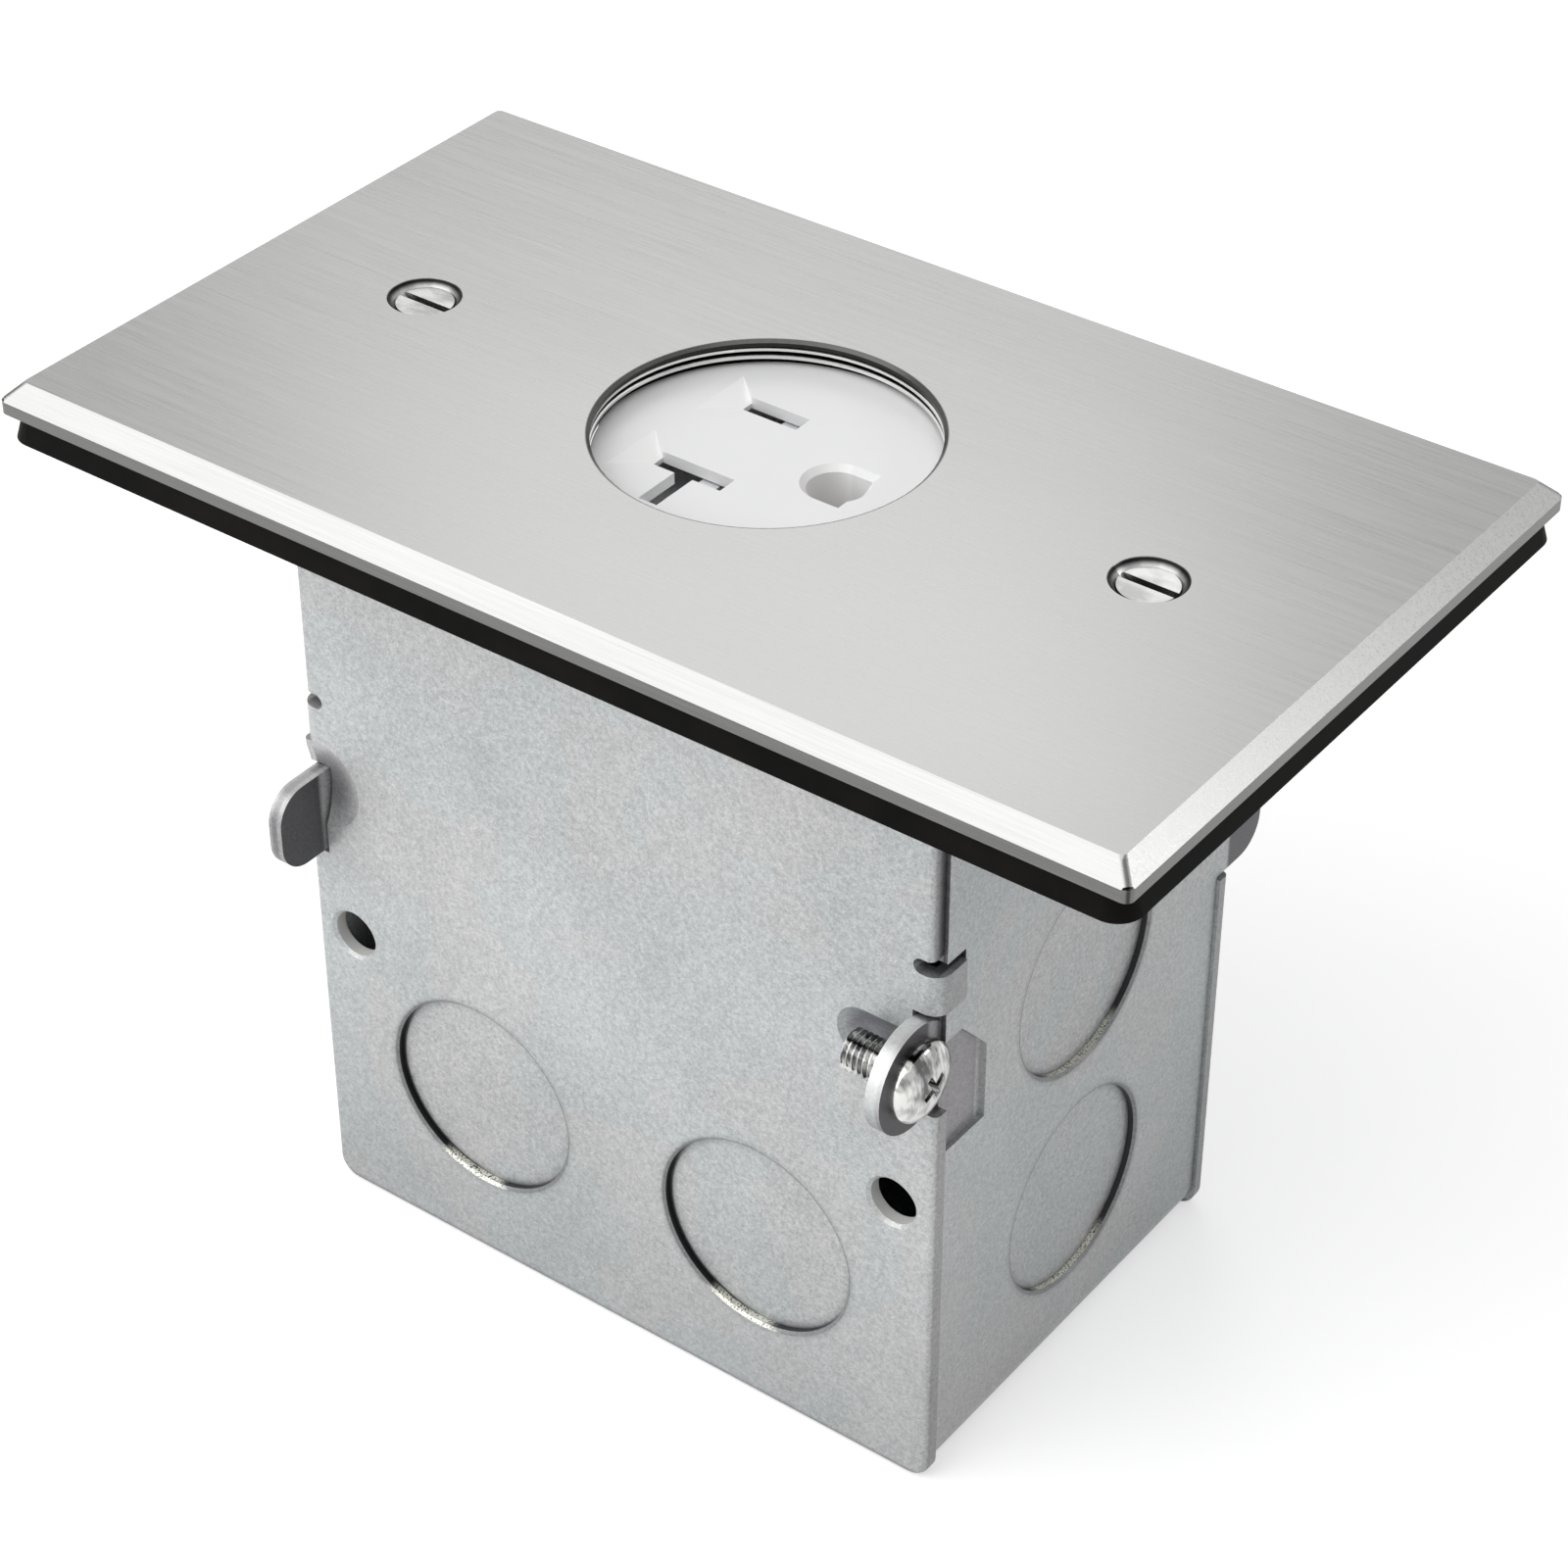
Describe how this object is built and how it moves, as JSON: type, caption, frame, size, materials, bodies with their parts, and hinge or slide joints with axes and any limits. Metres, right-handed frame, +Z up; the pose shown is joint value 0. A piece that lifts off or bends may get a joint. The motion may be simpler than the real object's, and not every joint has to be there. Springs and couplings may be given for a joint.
{
  "type": "floor socket box",
  "caption": "Flush floor socket: bevelled brushed steel cover plate on a rubber gasket, threaded round cap opening over a white grounding receptacle, and a deep galvanised steel box with knockouts.",
  "frame": {"origin": "middle of the box's flat bottom, below the middle of the cover plate", "axes": "+X along the cover plate's long side, +Z up through the cap opening, -Y towards the large side plate that has its screw ear at +X"},
  "size_m": [0.1264, 0.0732, 0.0936],
  "materials": {
    "brushed_stainless": "brushed stainless steel",
    "bright_chrome": "bright chrome plating",
    "black_rubber": "matte black rubber",
    "screw_steel": "plain steel screws",
    "galvanised_steel": "galvanised sheet steel",
    "white_plastic": "smooth white thermoplastic",
    "base_plastic": "moulded off-white thermoplastic",
    "shutter_plastic": "grey acetal",
    "brass": "plain brass",
    "nickel_plate": "nickel plated steel",
    "green_steel": "green dyed steel screw",
    "spring_steel": "music wire"
  },
  "bodies": {
    "housing": {"cover_plate": "brushed_stainless", "threaded_ring": "bright_chrome", "gasket": "black_rubber", "cover_screws": "screw_steel", "receptacle_face": "white_plastic", "receptacle_base": "base_plastic", "mounting_strap": "galvanised_steel", "shutter_guide": "shutter_plastic", "shutter_springs": "spring_steel", "hot_contact": "brass", "neutral_contact": "brass", "ground_contact": "brass", "hot_terminal_screw": "brass", "neutral_terminal_screw": "nickel_plate", "ground_terminal_screw": "green_steel", "clamp_plates": "nickel_plate", "housing_rivets": "screw_steel", "box_body": "galvanised_steel", "front_side_plate": "galvanised_steel", "back_side_plate": "galvanised_steel", "side_screws": "screw_steel", "box_ground_screw": "green_steel"},
    "shutter": {"shutter": "shutter_plastic"}
  },
  "joints": [
    {"name": "shutter_slide", "type": "slide", "parent": "housing", "child": "shutter", "axis": [1, 0, 0], "range_m": [0, 0.0055], "stiffness_N_per_m": 40, "springref_m": -0.003, "deforming": ["shutter_springs"]}
  ]
}
